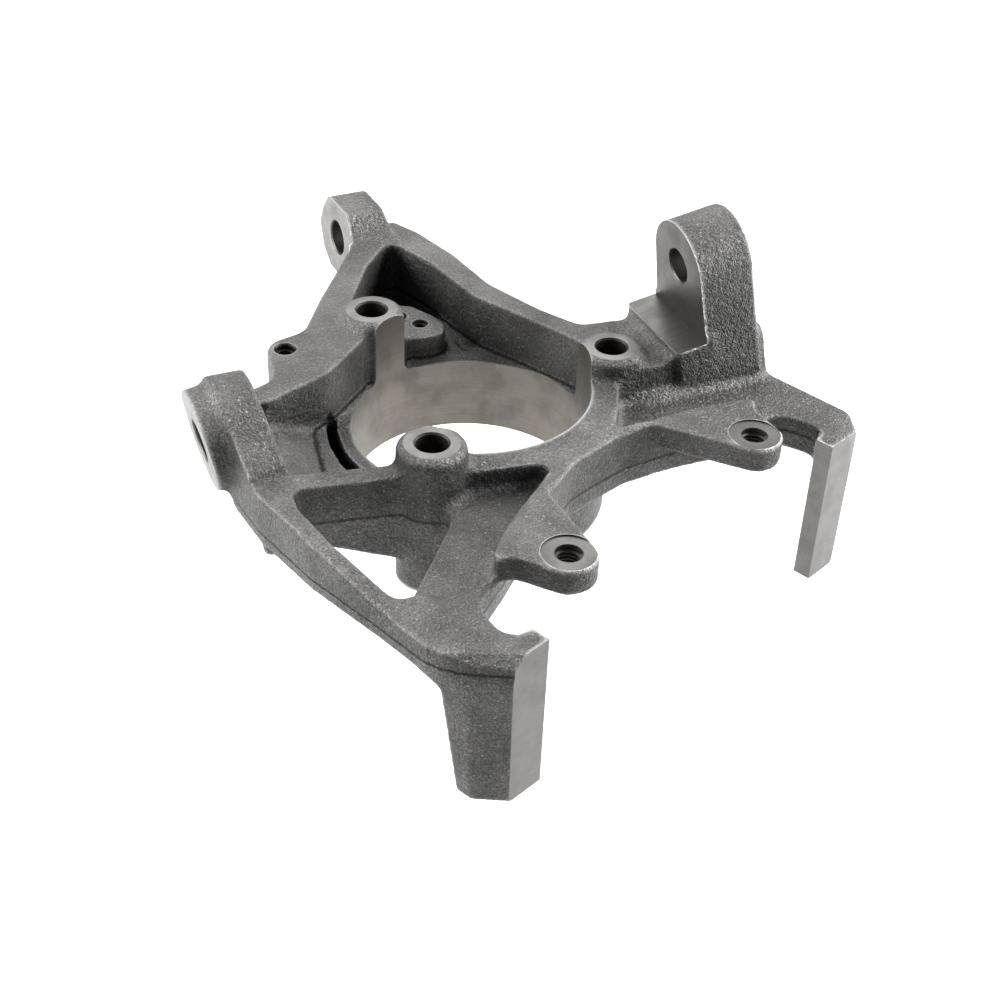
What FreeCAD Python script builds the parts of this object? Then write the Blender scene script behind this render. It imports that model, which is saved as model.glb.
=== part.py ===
import FreeCAD, Part
import math
import os

# Steering knuckle of a solid front axle, cast in one piece and then machined.
# Z is the axis of the hub bore. The hub face lies at Z = 0 and the bolt heads seat at the top.
# X points at the upper kingpin lug, through the first hub bolt boss.

V = FreeCAD.Vector

document = FreeCAD.newDocument("steering_knuckle")

# Driving dimensions in millimetres
dims = document.addObject("Spreadsheet::Sheet", "dims")
dims.Label = "dims"
DIMENSIONS = [
    ("bore_diameter", 96.0),
    ("flange_diameter", 112.0),
    ("ledge_height", 31.5),
    ("web_bottom", 13.0),
    ("web_top", 20.0),
    ("arm_bottom", 25.0),
    ("arm_top", 40.0),
    ("ring_top", 50.0),
    ("beam_top", 56.0),
    ("hub_bolt_circle", 117.0),
    ("hub_bolt_hole", 12.5),
    ("boss_diameter", 27.0),
    ("boss_seat_diameter", 21.8),
    ("boss_top", 60.2),
    ("boss_bevel", 2.1),
    ("ear_bottom", 39.9),
    ("ear_top", 51.0),
    ("ear_offset", 53.6),
    ("ear_reach", 100.2),
    ("ear_seat_diameter", 20.0),
    ("ear_seat_depth", 0.6),
    ("ear_thread_core", 8.5),
    ("leg_bottom", -26.0),
    ("rail_reach", 118.4),
    ("upper_lug_hole", 14.2),
    ("lower_lug_hole", 16.6),
    ("tie_rod_hole", 15.4),
    ("lower_boss_diameter", 40.0),
    ("shield_thread_core", 6.8),
    ("sensor_pad_top", 42.5),
    ("sensor_thread_core", 5.0),
    ("sensor_hole", 8.0),
]
for row, (alias, value) in enumerate(DIMENSIONS, start=1):
    dims.set("A%d" % row, alias)
    dims.set("B%d" % row, str(value))
    dims.setAlias("B%d" % row, alias)
document.recompute()

# Directions of the tilted lugs: the kingpin leans inboard and forward of the bolt pattern
KINGPIN_AZIMUTH = 7.5
KINGPIN_TILT = 9.7
TIE_ROD_AZIMUTH = 10.2
CALIPER_AZIMUTH = 30.0


def tilted(azimuth, tilt):
    """Rotation whose Z is an axis of that azimuth and tilt and whose X lies level across it."""
    turn = math.radians(azimuth)
    lean = math.radians(tilt)
    along = V(math.cos(turn) * math.cos(lean), math.sin(turn) * math.cos(lean), math.sin(lean))
    across = V(-math.sin(turn), math.cos(turn), 0)
    return FreeCAD.Rotation(across, along.cross(across), along, "ZXY")


LEVEL = FreeCAD.Rotation()
KINGPIN = tilted(KINGPIN_AZIMUTH, KINGPIN_TILT)
TIE_ROD = tilted(TIE_ROD_AZIMUTH, 0.0)
CALIPER = FreeCAD.Rotation(V(0, 0, 1), CALIPER_AZIMUTH)
SIDEWAYS = FreeCAD.Rotation(V(0, -1, 0), V(0, 0, 1), V(-1, 0, 0), "ZXY")


def origin_feature(body, role):
    """Plane or axis of a body's own origin."""
    for feature in body.Origin.OriginFeatures:
        if feature.Role == role:
            return feature
    raise ValueError(role)


def bind(feature, links):
    """Ties properties of a feature to cells of the sheet."""
    for name, formula in links.items():
        feature.setExpression(name, formula)


def region(name):
    """Body that holds one region of the rough casting."""
    body = document.addObject("PartDesign::Body", name)
    body.Label = name
    return body


def sketch_on(body, name, base, rotation=LEVEL, links=None):
    """Empty sketch at that place in the body's frame."""
    sketch = body.newObject("Sketcher::SketchObject", name)
    sketch.AttachmentSupport = [(origin_feature(body, "XY_Plane"), "")]
    sketch.MapMode = "FlatFace"
    sketch.AttachmentOffset = FreeCAD.Placement(base, rotation)
    bind(sketch, links or {})
    return sketch


def draw(sketch, corners):
    """Closed outline through corners (x, y, radius), each rounded as far as its edges allow."""
    pieces = []
    count = len(corners)
    for index in range(count):
        before = V(*corners[index - 1][:2], 0)
        corner = V(*corners[index][:2], 0)
        after = V(*corners[(index + 1) % count][:2], 0)
        room = 0.45 * min((before - corner).Length, (after - corner).Length)
        toward = (before - corner).normalize()
        away = (after - corner).normalize()
        half = toward.getAngle(away) / 2
        radius = min(corners[index][2], room * math.tan(half))
        if radius == 0:
            pieces.append((corner, None, corner))
            continue
        setback = radius / math.tan(half)
        middle = corner + (toward + away).normalize() * (radius / math.sin(half) - radius)
        pieces.append((corner + toward * setback, middle, corner + away * setback))
    for index in range(count):
        start, middle, end = pieces[index]
        if middle is not None:
            sketch.addGeometry(Part.Arc(start, middle, end), False)
        following = pieces[(index + 1) % count][0]
        sketch.addGeometry(Part.LineSegment(end, following), False)


def mirrored(corners):
    """The same outline, in the same order, on the other side of the sketch's Y axis."""
    return [(-x, y, radius) for x, y, radius in corners]


def pad(body, name, sketch, length):
    """Solid raised from a sketch by a length or by a formula of the sheet."""
    feature = body.newObject("PartDesign::Pad", name)
    feature.Profile = sketch
    if isinstance(length, str):
        feature.setExpression("Length", length)
    else:
        feature.Length = length
    sketch.Visibility = False
    return feature


def slab(body, name, outlines, bottom, top, rotation=LEVEL, shift=None):
    """Level plate between two heights of the sheet, with its outlines."""
    links = {".AttachmentOffset.Base.z": bottom}
    links.update(shift or {})
    sketch = sketch_on(body, name + "_outline", V(0, 0, 0), rotation, links)
    for corners in outlines:
        draw(sketch, corners)
    return pad(body, name, sketch, "%s - (%s)" % (top, bottom))


def post(body, name, base, radius, height, rotation=LEVEL, links=None):
    """Round bar added to a body, its radius and height given by formulas."""
    feature = body.newObject("PartDesign::AdditiveCylinder", name)
    feature.AttachmentSupport = [(origin_feature(body, "XY_Plane"), "")]
    feature.MapMode = "FlatFace"
    feature.AttachmentOffset = FreeCAD.Placement(base, rotation)
    bind(feature, {"Radius": radius, "Height": height})
    bind(feature, links or {})
    return feature


def wedge(body, name, corners, length):
    """Pocket cut sideways through a region, its outline as (distance toward the caliper, height)."""
    sketch = sketch_on(body, name + "_outline", V(-90, 0, 0), SIDEWAYS)
    draw(sketch, corners)
    feature = body.newObject("PartDesign::Pocket", name)
    feature.Profile = sketch
    feature.Length = length
    sketch.Visibility = False
    return feature


# Hub ring: the flange around the bore, the raised wall beside the caliper and three bolt bosses
hub_ring = region("hub_ring")
post(hub_ring, "flange", V(0, 0, 0), "dims.flange_diameter / 2", "dims.ledge_height")
RING_WALL = [
    (-29, -47, 0), (-29, -57.3, 0), (9, -58.4, 2), (14.5, -62, 2), (6.5, -73.5, 0), (10.5, -75, 0), (24, -60.3, 18),
    (46, -47.6, 18), (62.5, -43.5, 0), (58, -41, 2), (45.5, -43.3, 2), (52, -29, 8), (56.5, -17, 3), (58, -3, 0),
    (40, -4, 0), (0, -36, 0),
]
slab(hub_ring, "ring_wall", [RING_WALL], "dims.arm_bottom", "dims.ring_top")
boss = post(hub_ring, "boss", V(58.5, 0, 0), "dims.boss_diameter / 2", "dims.boss_top - dims.boss_bevel",
            links={".AttachmentOffset.Base.x": "dims.hub_bolt_circle / 2"})
bevel = hub_ring.newObject("PartDesign::AdditiveCone", "boss_bevel")
bevel.AttachmentSupport = [(origin_feature(hub_ring, "XY_Plane"), "")]
bevel.MapMode = "FlatFace"
bind(bevel, {
    ".AttachmentOffset.Base.x": "dims.hub_bolt_circle / 2",
    ".AttachmentOffset.Base.z": "dims.boss_top - dims.boss_bevel",
    "Radius1": "dims.boss_diameter / 2",
    "Radius2": "dims.boss_seat_diameter / 2",
    "Height": "dims.boss_bevel",
})
bosses = hub_ring.newObject("PartDesign::PolarPattern", "three_bosses")
bosses.Originals = [boss, bevel]
bosses.Axis = (origin_feature(hub_ring, "Z_Axis"), [""])
bosses.Angle = 360
bosses.Occurrences = 3
hub_ring.Tip = bosses

# Upper frame: two beams that meet at the tie rod lug, with a thin web between them
upper_frame = region("upper_frame")
WEB = [
    (-92, -44, 3), (-92, 4, 3), (-60, 40, 6), (-42, 78, 6), (-20, 128, 6), (2, 128, 6),
    (22, 84, 6), (50, 26, 6), (62, 8, 3), (46, -10, 3), (-10, -44, 3),
]
slab(upper_frame, "web", [WEB], "dims.web_bottom", "dims.web_top")
STRUT = FreeCAD.Rotation(V(1, -0.052, 0), V(0, 0, 1), V(-0.052, -1, 0), "ZXY")
POCKET_FLOOR = [
    (-88, -44, 0), (-88, -3, 0), (-57.5, 15, 0), (-57, 8, 10), (-58.4, -3, 10), (-58, -12, 10), (-56.4, -18, 10),
    (-53, -26, 10), (-48.5, -34, 10), (-42, -44, 0),
]
slab(upper_frame, "pocket_floor", [POCKET_FLOOR], "dims.web_bottom", "dims.beam_top - 10")
slope_sketch = sketch_on(upper_frame, "pocket_slope_outline", V(0, -50, 0), STRUT)
draw(slope_sketch, [
    (-95, 46, 0), (-88, 45, 0), (-80, 41.8, 8), (-72, 36.4, 12), (-65, 32.5, 12), (-57, 30.5, 0), (-40, 30, 0),
    (-40, 60, 0), (-95, 60, 0),
])
pocket_slope = upper_frame.newObject("PartDesign::Pocket", "pocket_slope")
pocket_slope.Profile = slope_sketch
pocket_slope.Length = 90
slope_sketch.Visibility = False
BEAMS = [
    (-88, -6.5, 0), (-55, 13, 14), (-37, 34, 4), (-31, 46, 2), (-34, 68, 3), (-21.5, 96, 8), (-6.5, 118, 4.5),
    (6.5, 94, 20), (17.8, 59.5, 14), (34.4, 37, 12), (49.4, 14.6, 0), (50, 10, 0), (60, -3, 3), (68, 26, 0), (54.5, 27, 9),
    (42, 43, 20), (27, 69, 20), (19, 98, 30), (8.5, 123, 20), (-4, 142, 4), (-15, 140, 4),
    (-23.5, 117, 8), (-47, 72, 20), (-58.5, 47, 10), (-76, 40, 11), (-76.5, 13, 9), (-88, 7, 0),
]
slab(upper_frame, "beams", [BEAMS], "dims.web_bottom", "dims.beam_top")
NECK = [
    (-24.5, 112, 0), (-19, 127, 0), (-14, 140, 3), (-8.5, 139, 3), (-4.5, 126, 6), (0, 112, 0),
    (-6.5, 119, 4.5), (-15, 107, 0),
]
slab(upper_frame, "neck", [NECK], "dims.web_bottom", "dims.beam_top + 9")
wedge(upper_frame, "neck_ramp", [(-100, 56, 0), (-116, 56, 0), (-134, 65.5, 0), (-134, 70, 0), (-100, 70, 0)], 130)
TIE_ROD_CENTRE = V(-26.3, 136.7, 50.0)
TIE_ROD_LUG = [
    (10, 16.2, 2), (16.5, 8.5, 3), (21.3, -1.5, 6), (17.5, -12, 5), (9, -18.5, 5), (-11, -18.5, 5), (-18.5, -8, 6),
    (-18, 6, 4), (-11, 16.2, 4),
]
tie_rod_sketch = sketch_on(upper_frame, "tie_rod_lug_outline", TIE_ROD_CENTRE, TIE_ROD)
draw(tie_rod_sketch, TIE_ROD_LUG)
pad(upper_frame, "tie_rod_lug", tie_rod_sketch, 18.5)
SENSOR_PAD = [
    (-24, 60, 0), (-15, 54, 0), (-7, 52.6, 6), (2.5, 53.6, 8), (5.8, 62, 8), (2.5, 70.5, 12), (-5, 81, 6),
    (-14, 84.5, 6), (-24, 78, 0),
]
slab(upper_frame, "sensor_pad", [SENSOR_PAD], "dims.web_bottom", "dims.sensor_pad_top")
SHELF = [(0, 52, 0), (20, 49, 0), (19.5, 51.5, 2), (13.4, 55.5, 4), (10.8, 62, 6), (10.2, 70, 6), (12.5, 82, 0), (0, 84, 0)]
slab(upper_frame, "sensor_shelf", [SHELF], "dims.web_bottom", "dims.ledge_height")

# Lower side: the strut to the third boss, the curved arm to the left rail and the lower kingpin lug
lower_side = region("lower_side")
strut_sketch = sketch_on(lower_side, "strut_profile", V(0, -48.4, 0), STRUT)
draw(strut_sketch, [(-88, 25, 0), (-67, 20.5, 0), (-43, 12, 0), (-29, 8, 0), (-29, 50, 0), (-88, 50, 0)])
pad(lower_side, "strut", strut_sketch, 9.4)
LOWER_ARM = [
    (-101.5, -14, 0), (-100.5, -32, 10), (-95, -54, 30), (-82, -85.5, 50), (-65.5, -115.2, 60), (-53.5, -138, 10),
    (-46, -145, 3), (-36, -136, 0), (-47, -112.5, 4), (-57.5, -115, 9), (-73.5, -88, 30), (-82, -66, 20),
    (-82.5, -50, 8), (-83.5, -14, 0),
]
slab(lower_side, "lower_arm", [LOWER_ARM], "dims.arm_bottom + 3.2", "dims.ring_top")
SLOPE = [(74, 50, 0), (92, 48, 0), (110, 43.4, 0), (126, 41, 0), (150, 40.4, 0), (160, 40.4, 0), (160, 56, 0), (74, 56, 0)]
wedge(lower_side, "lower_arm_slope", SLOPE, 130)
LOWER_LUG_CENTRE = V(-109.9, -14.5, 49.6)
LUG_AXIS = KINGPIN.multVec(V(0, 0, 1))
lower_lug_sketch = sketch_on(lower_side, "lower_lug_outline", LOWER_LUG_CENTRE + LUG_AXIS * 9, KINGPIN)
lower_lug_sketch.addGeometry(Part.Arc(V(-14.4, 17.2, 0), V(22.4, 0, 0), V(0, -22.4, 0)), False)
lower_lug_sketch.addGeometry(Part.LineSegment(V(0, -22.4, 0), V(-35, -21, 0)), False)
lower_lug_sketch.addGeometry(Part.LineSegment(V(-35, -21, 0), V(-35, 1.5, 0)), False)
lower_lug_sketch.addGeometry(Part.LineSegment(V(-35, 1.5, 0), V(-14.4, 17.2, 0)), False)
lower_lug = pad(lower_side, "lower_lug", lower_lug_sketch, 15)
lower_lug.TaperAngle = -8
post(lower_side, "lower_lug_boss", LOWER_LUG_CENTRE, "dims.lower_boss_diameter / 2", "10", KINGPIN)

# Caliper side, in the caliper's own directions: X along the pads and Y away from the caliper
caliper_side = region("caliper_side")
RIGHT_ARM = [
    (0, -64.5, 0), (24, -65.5, 20), (45, -73, 10), (66, -82, 6), (87.5, -90, 8), (90.8, -103, 5), (88.6, -109.6, 0),
    (82.6, -110.8, 0), (82.6, -120, 0), (98.5, -120, 2), (109.5, -108, 5), (110, -67, 4), (54, -25, 0),
    (28, -39, 0), (0, -49, 0),
]
slab(caliper_side, "right_arm", [RIGHT_ARM], "dims.arm_bottom", "dims.arm_top", CALIPER)
LEFT_ARM = [
    (0, -64.5, 0), (0, -49, 0), (-28, -39, 0), (-50, -40, 0), (-63, -51, 6), (-102.5, -72, 3), (-113, -85, 8),
    (-114.5, -97.5, 6), (-109.5, -106.5, 3), (-97.8, -120, 2), (-82.6, -120, 0), (-82.6, -110.8, 0),
    (-88.6, -109.6, 0), (-90.8, -103, 5), (-87.5, -90, 8), (-66, -82, 6), (-45, -73, 10), (-24, -65.5, 20),
]
slab(caliper_side, "left_arm", [LEFT_ARM], "dims.arm_bottom", "dims.arm_top", CALIPER)
LEG_FOOT = [
    (82.6, -120, 0), (82.6, -110.8, 0), (88.6, -109.6, 0), (93, -105.8, 0), (104, -99.7, 0),
    (107.8, -101, 0), (107.4, -108.5, 0), (97.4, -120, 0),
]
RIGHT_LEG_HEAD = [
    (82.6, -120, 0), (82.6, -110.8, 0), (88.6, -109.6, 0), (93, -105.5, 0), (105, -98.5, 0),
    (110.5, -99.5, 0), (110.2, -107, 0), (98.5, -120, 0),
]
LEFT_LEG_HEAD = [
    (-82.6, -120, 0), (-82.6, -110.8, 0), (-88.6, -109.6, 0), (-93, -105.5, 0), (-105, -95, 0),
    (-114.5, -97, 0), (-110.8, -107, 0), (-98.5, -120, 0),
]
for side, turned, head_outline in (("right", list, RIGHT_LEG_HEAD), ("left", mirrored, LEFT_LEG_HEAD)):
    foot = sketch_on(caliper_side, side + "_leg_foot", V(0, 0, 0), CALIPER,
                     {".AttachmentOffset.Base.z": "dims.leg_bottom"})
    draw(foot, turned(LEG_FOOT))
    head = sketch_on(caliper_side, side + "_leg_head", V(0, 0, 0), CALIPER,
                     {".AttachmentOffset.Base.z": "dims.arm_bottom + 6"})
    draw(head, head_outline)
    leg = caliper_side.newObject("PartDesign::AdditiveLoft", side + "_rail_leg")
    leg.Profile = foot
    leg.Sections = [head]
    leg.Ruled = True
EAR = [
    (18, -60.5, 2), (31.5, -65.5, 20), (48, -71, 20), (62, -76.5, 20), (75.5, -84.2, 3), (68.5, -89.5, 6),
    (65.06, -100, 0), (42.61, -100, 0), (31, -69, 4), (22, -62, 0),
]
slab(caliper_side, "ears", [EAR, mirrored(EAR)], "dims.ear_bottom", "dims.ear_top", CALIPER)
EAR_END = [
    (67.02, -94, 0), (64.4, -102, 6), (62, -108.4, 9), (54, -111.7, 10), (46, -109, 9), (42.8, -100.5, 6),
    (40.93, -95.5, 0), (43, -78, 0), (64, -78, 0),
]
slab(caliper_side, "ear_ends", [EAR_END, mirrored(EAR_END)], "dims.ear_bottom", "dims.ear_top", CALIPER, {
    ".AttachmentOffset.Base.x": "(dims.ear_reach - 100.2) * sin(30)",
    ".AttachmentOffset.Base.y": "(100.2 - dims.ear_reach) * cos(30)",
})

# Upper kingpin lug: a thick rounded tongue on a broad root, with a machined seat at its foot
upper_side = region("upper_side")
ROOT = [
    (50, -12.5, 0), (71, -14, 3), (96, -9.8, 20), (127.5, -5.5, 4), (122, 38, 6), (81, 38, 4), (76, 29.5, 5), (52, 28, 0),
]
slab(upper_side, "lug_root", [ROOT], "dims.arm_bottom", "dims.arm_top + 3")
SHOULDER = [
    (50, -8, 0), (63, -12.4, 3), (73, -11, 3), (86, -8.5, 0), (84, 36.5, 0), (80, 36, 4), (75, 28.4, 5), (52, 26.8, 0),
]
slab(upper_side, "lug_shoulder", [SHOULDER], "dims.arm_bottom", "dims.beam_top - 0.5")
UPPER_LUG_CENTRE = V(88.9, 11.7, 87.1)
seat_sketch = sketch_on(upper_side, "seat_outline", UPPER_LUG_CENTRE - LUG_AXIS * 13.5, KINGPIN)
draw(seat_sketch, [(-22.6, -58, 0), (23.6, -58, 0), (22.4, -25.5, 3), (-21.9, -25.5, 1)])
pad(upper_side, "seat", seat_sketch, 16)
upper_lug_sketch = sketch_on(upper_side, "upper_lug_outline", UPPER_LUG_CENTRE, KINGPIN)
upper_lug_sketch.addGeometry(Part.Arc(V(19, 0, 0), V(0, 19, 0), V(-19, 0, 0)), False)
upper_lug_sketch.addGeometry(Part.LineSegment(V(-19, 0, 0), V(-23.5, -56, 0)), False)
upper_lug_sketch.addGeometry(Part.LineSegment(V(-23.5, -56, 0), V(23.5, -56, 0)), False)
upper_lug_sketch.addGeometry(Part.LineSegment(V(23.5, -56, 0), V(19, 0, 0)), False)
pad(upper_side, "upper_lug", upper_lug_sketch, 24)
heel_sketch = sketch_on(upper_side, "heel_outline", UPPER_LUG_CENTRE + LUG_AXIS * 20, KINGPIN)
draw(heel_sketch, [(-22, -57, 0), (22, -57, 0), (20, -29, 5), (-19.5, -29, 5)])
pad(upper_side, "heel", heel_sketch, 7.8)

rough = document.addObject("Part::MultiFuse", "rough_casting")
rough.Shapes = [hub_ring, upper_frame, lower_side, caliper_side, upper_side]
rough.Refine = True

# Machining: the bore also skims the inner flanks of the bosses
cutters = []


def cutter(name, base, radius, height, rotation=LEVEL, links=None):
    """Round tool that bores one hole or seat."""
    tool = document.addObject("Part::Cylinder", name)
    tool.Placement = FreeCAD.Placement(base, rotation)
    bind(tool, {"Radius": radius, "Height": height})
    bind(tool, links or {})
    cutters.append(tool)


cutter("hub_bore", V(0, 0, -1), "dims.bore_diameter / 2", "dims.boss_top + 2")
for number, angle in enumerate((0, 120, 240), start=1):
    cutter("hub_bolt_hole_%d" % number, V(0, 0, -1), "dims.hub_bolt_hole / 2", "dims.boss_top + 2", links={
        ".Placement.Base.x": "dims.hub_bolt_circle / 2 * cos(%d)" % angle,
        ".Placement.Base.y": "dims.hub_bolt_circle / 2 * sin(%d)" % angle,
    })
for side, sign in (("right", 1), ("left", -1)):
    place = {
        ".Placement.Base.x": "%d * dims.ear_offset * cos(30) + dims.ear_reach * sin(30)" % sign,
        ".Placement.Base.y": "%d * dims.ear_offset * sin(30) - dims.ear_reach * cos(30)" % sign,
    }
    seat_place = dict(place)
    seat_place[".Placement.Base.z"] = "dims.ear_top - dims.ear_seat_depth"
    cutter(side + "_ear_seat", V(0, 0, 0), "dims.ear_seat_diameter / 2", "5", links=seat_place)
    core_place = dict(place)
    core_place[".Placement.Base.z"] = "dims.ear_bottom - 1"
    cutter(side + "_ear_thread", V(0, 0, 0), "dims.ear_thread_core / 2", "15", links=core_place)
cutter("upper_lug_bore", UPPER_LUG_CENTRE - LUG_AXIS * 2, "dims.upper_lug_hole / 2", "30", KINGPIN)
cutter("lower_lug_bore", LOWER_LUG_CENTRE - LUG_AXIS * 2, "dims.lower_lug_hole / 2", "45", KINGPIN)
TIE_ROD_AXIS = TIE_ROD.multVec(V(0, 0, 1))
cutter("tie_rod_bore", TIE_ROD_CENTRE - TIE_ROD_AXIS * 2, "dims.tie_rod_hole / 2", "40", TIE_ROD)
for side, across in (("right", 78), ("left", -114)):
    mill = document.addObject("Part::Box", side + "_rail_mill")
    mill.Length = 36
    mill.Width = 30
    mill.Height = 90
    mill.Placement = FreeCAD.Placement(V(0, 0, -40), CALIPER)
    bind(mill, {
        ".Placement.Base.x": "%d * cos(30) + (dims.rail_reach + 30) * sin(30)" % across,
        ".Placement.Base.y": "%d * sin(30) - (dims.rail_reach + 30) * cos(30)" % across,
    })
    cutters.append(mill)
cutter("shield_thread", V(-68.6, 34, 36), "dims.shield_thread_core / 2", "25")
cutter("sensor_thread", V(-5, 64.5, 30), "dims.sensor_thread_core / 2", "20")
cutter("sensor_bore", V(-13.5, 73, 8), "dims.sensor_hole / 2", "40")
tools = document.addObject("Part::MultiFuse", "machining_tools")
tools.Shapes = cutters

casting = document.addObject("Part::Cut", "knuckle_casting")
casting.Label = "knuckle_casting"
casting.Base = rough
casting.Tool = tools
casting.Refine = True

document.recompute()

for thing in document.Objects:
    if "Invalid" in thing.State or "Error" in thing.State:
        raise RuntimeError("%s failed: %s" % (thing.Label, thing.State))

os.makedirs("parts", exist_ok=True)
for piece in [casting]:
    shape = piece.Shape
    if shape.isNull() or not shape.isValid():
        raise RuntimeError("%s has no valid shape" % piece.Label)
    if len(shape.Solids) != 1:
        raise RuntimeError("%s is %d solids" % (piece.Label, len(shape.Solids)))
    shape.exportStep("parts/%s.step" % piece.Label)
    box = shape.BoundBox
    print(piece.Label, "volume cm3 %.1f" % (shape.Volume / 1000), "faces", len(shape.Faces), "box", box)
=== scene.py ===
"""Looks of the cast steering knuckle: its rounded skin, machined faces, threads and studio."""

import logging
import math
from collections.abc import Sequence
from dataclasses import dataclass, field
from enum import Enum

import bpy
from mathutils import Matrix, Vector

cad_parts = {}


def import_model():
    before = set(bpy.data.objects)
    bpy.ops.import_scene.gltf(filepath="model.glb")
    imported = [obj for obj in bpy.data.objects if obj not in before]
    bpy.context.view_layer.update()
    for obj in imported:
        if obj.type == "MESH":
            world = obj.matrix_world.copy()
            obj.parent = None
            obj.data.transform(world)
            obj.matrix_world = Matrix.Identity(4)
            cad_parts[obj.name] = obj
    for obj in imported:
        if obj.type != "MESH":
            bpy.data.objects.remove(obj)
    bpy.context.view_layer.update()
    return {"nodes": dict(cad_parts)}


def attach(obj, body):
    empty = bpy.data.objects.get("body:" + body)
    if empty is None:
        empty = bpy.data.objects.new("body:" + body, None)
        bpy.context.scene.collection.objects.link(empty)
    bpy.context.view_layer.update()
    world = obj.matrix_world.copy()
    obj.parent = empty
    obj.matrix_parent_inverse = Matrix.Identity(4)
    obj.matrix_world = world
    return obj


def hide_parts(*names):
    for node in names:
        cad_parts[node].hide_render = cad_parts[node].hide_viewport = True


LOG = logging.getLogger("steering_knuckle")
MM = 0.001

Corner = tuple[float, float]
Station = tuple[float, float]
Place = tuple[float, float, float]
Colour = tuple[float, float, float, float]
Socket = bpy.types.NodeSocket


class Lay(Enum):
    """Direction of the marks that a cutting tool leaves."""

    RINGS = "concentric rings about the tool's axis"
    TURNS = "fine turns along the bore's axis"


@dataclass(frozen=True)
class Datum:
    """A working frame on the part, its origin in millimetres.

    Attributes:
        origin: Place of the frame's origin.
        across: Direction of its X.
        up: Direction of its Y.
        along: Direction of its Z, the axis of a hole or the normal of a face.
    """

    origin: Vector
    across: Vector = Vector((1, 0, 0))
    up: Vector = Vector((0, 1, 0))
    along: Vector = Vector((0, 0, 1))

    @classmethod
    def turned(cls, azimuth: float, origin: Sequence[float] = (0, 0, 0)) -> "Datum":
        """Level frame turned about Z.

        Args:
            azimuth: Direction of its X, in degrees.
            origin: Its origin, in millimetres.

        Returns:
            The frame.
        """
        turn = math.radians(azimuth)
        across = Vector((math.cos(turn), math.sin(turn), 0))
        return cls(Vector(origin), across, Vector((-across.y, across.x, 0)))

    @classmethod
    def leaning(cls, origin: Sequence[float], azimuth: float, tilt: float) -> "Datum":
        """Frame of a lug, its Z along the hole's axis.

        Args:
            origin: Centre of the hole on the machined face, in millimetres.
            azimuth: Direction of the axis about Z, in degrees.
            tilt: Rise of the axis above level, in degrees.

        Returns:
            The frame, its X level across the axis.
        """
        turn, lean = math.radians(azimuth), math.radians(tilt)
        level = math.cos(lean)
        along = Vector((math.cos(turn) * level, math.sin(turn) * level, math.sin(lean)))
        across = Vector((-math.sin(turn), math.cos(turn), 0))
        return cls(Vector(origin), across, along.cross(across), along)

    def matrix(self) -> Matrix:
        """Transform from the frame, in metres, to the part."""
        turn = Matrix((self.across, self.up, self.along)).transposed()
        return Matrix.Translation(self.origin * MM) @ turn.to_4x4()


# Driving radii, heights and places of the casting, in millimetres
BORE_RADIUS = 48.0
BOLT_CIRCLE_RADIUS = 58.5
LEDGE = 31.5
BOSS_TOP = 60.2
EAR_TOP = 50.4
EAR_SPREAD = 53.6
EAR_REACH = 100.2

HUB = Datum(Vector((0, 0, 0)))
CALIPER = Datum.turned(30)
BOLTS = [
    Datum.turned(angle, Matrix.Rotation(math.radians(angle), 3, "Z") @ Vector((BOLT_CIRCLE_RADIUS, 0, 0)))
    for angle in (0, 120, 240)
]
EARS = [Datum(CALIPER.across * side * EAR_SPREAD - CALIPER.up * EAR_REACH) for side in (1, -1)]
UPPER_LUG = Datum.leaning((88.9, 11.7, 87.1), 7.5, 9.7)
LOWER_LUG = Datum.leaning((-109.9, -14.5, 49.6), 7.5, 9.7)
TIE_ROD_LUG = Datum.leaning((-26.3, 136.7, 50.0), 10.2, 0.0)
SHIELD_HOLE = Datum(Vector((-68.6, 34, 0)))
SENSOR_SCREW = Datum(Vector((-5, 64.5, 0)))
SENSOR_BORE = Datum(Vector((-13.5, 73, 0)))
LEG_OUT = -0.70 * CALIPER.across - 0.714 * CALIPER.up
LEG_CORNER = CALIPER.across * -104.4 - CALIPER.up * 113.5 + Vector((0, 0, 40.6))
LEG_EDGE = Datum(LEG_CORNER, LEG_OUT, HUB.along, LEG_OUT.cross(HUB.along))

# Outlines of machined faces, each in the frame of its own datum, in millimetres
TIE_ROD_OUTLINE = [
    (10, 16.2), (16.5, 8.5), (21.3, -1.5), (17.5, -12), (9, -18.5),
    (-11, -18.5), (-18.5, -8), (-18, 6), (-11, 16.2),
]
RAIL_OUTLINE = [(80.1, -108.3), (90, -108.3), (100, -112), (99.5, -117.5), (96.6, -120.9), (80.1, -120.9)]
RAIL_CUT = [
    (70, -106), (89.8, -106), (88.6, -109.6), (82.6, -110.8),
    (82.6, -118.4), (112, -118.4), (112, -130), (70, -130),
]
SEAT_OUTLINE = [(-22.6, -58), (23.6, -58), (22.4, -23), (-21.9, -23)]


def linear(code: str) -> Colour:
    """Linear colour of an sRGB hex code."""
    shades = [int(code[place : place + 2], 16) / 255 for place in (1, 3, 5)]
    return (*[s / 12.92 if s <= 0.04045 else ((s + 0.055) / 1.055) ** 2.4 for s in shades], 1.0)


def per_mm(size: float) -> float:
    """Texture scale, in features a metre, whose features measure that many millimetres."""
    return 1000 / size


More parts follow.
